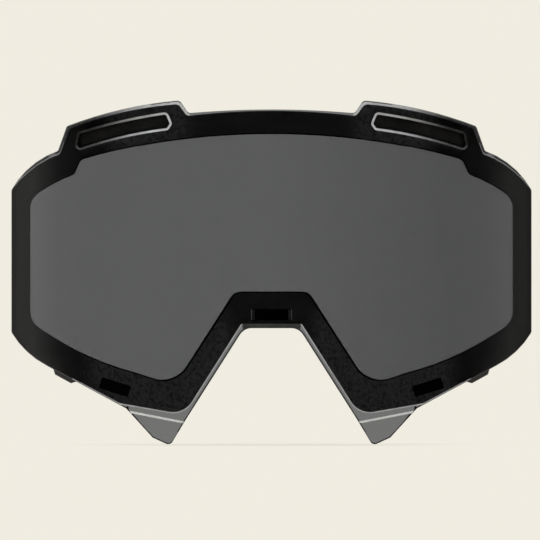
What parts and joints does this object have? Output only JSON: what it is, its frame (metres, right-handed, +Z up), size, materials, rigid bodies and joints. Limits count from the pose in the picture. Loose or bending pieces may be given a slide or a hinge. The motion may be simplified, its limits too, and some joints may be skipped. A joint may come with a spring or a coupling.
{
  "type": "motorcycle goggles",
  "caption": "Smoke-tinted cylindrical double lens with a black gasket band, vent slots and a nose cut, on a foam-lined goggle frame with hinged strap outriggers.",
  "frame": {"origin": "centre of the overall box in X and Y, at the level of the lens's two lower tips", "axes": "+X to the right of someone looking at the lens's front, the lens faces -Y and the wearer's face is at +Y, +Z up"},
  "size_m": [0.176, 0.091, 0.116],
  "materials": {
    "outer_lens": "gloss",
    "inner_pane": "gloss",
    "gasket_foam": "matte, fine cell texture",
    "carrier_plastic": "matte",
    "tab_rubber": "matte",
    "filter_foam": "open-cell foam",
    "magnet": "black coating",
    "clip_plastic": "satin",
    "frame_plastic": "matte, fine moulded grain",
    "plate_plastic": "matte",
    "firm_foam": "closed-cell foam",
    "soft_foam": "open-cell foam",
    "fleece": "brushed fleece",
    "steel": "satin",
    "outrigger_plastic": "matte, fine moulded grain"
  },
  "bodies": {
    "goggle_body": {"goggle_frame": "frame_plastic", "face_plate": "plate_plastic", "foam_base": "firm_foam", "foam_core": "soft_foam", "foam_lining": "fleece", "top_filter_middle": "filter_foam", "top_filter_left": "filter_foam", "top_filter_right": "filter_foam", "bottom_filter_left": "filter_foam", "bottom_filter_right": "filter_foam", "nose_keeper": "steel", "lower_keeper_left": "steel", "lower_keeper_right": "steel", "hinge_pin_left": "steel", "hinge_pin_right": "steel"},
    "lens_unit": {"outer_lens": "outer_lens", "spacer_gasket": "gasket_foam", "inner_pane": "inner_pane", "lens_carrier": "carrier_plastic", "pull_tab_left": "tab_rubber", "pull_tab_right": "tab_rubber", "vent_foam_left": "filter_foam", "vent_foam_right": "filter_foam", "nose_magnet": "magnet", "nose_magnet_clip": "clip_plastic", "lower_magnet_left": "magnet", "lower_magnet_right": "magnet"},
    "outrigger_left": {"outrigger_left": "outrigger_plastic"},
    "outrigger_right": {"outrigger_right": "outrigger_plastic"}
  },
  "joints": [
    {"name": "lens_release", "type": "slide", "parent": "goggle_body", "child": "lens_unit", "axis": [0, -1, 0], "range_m": [0, 0.06]},
    {"name": "outrigger_left_swing", "type": "hinge", "parent": "goggle_body", "child": "outrigger_left", "pos_m": [-0.0859, 0.01229, 0.06204], "axis": [0, 0, 1], "range_deg": [0, 40]},
    {"name": "outrigger_right_swing", "type": "hinge", "parent": "goggle_body", "child": "outrigger_right", "pos_m": [0.0859, 0.01229, 0.06204], "axis": [0, 0, -1], "range_deg": [0, 40]}
  ]
}
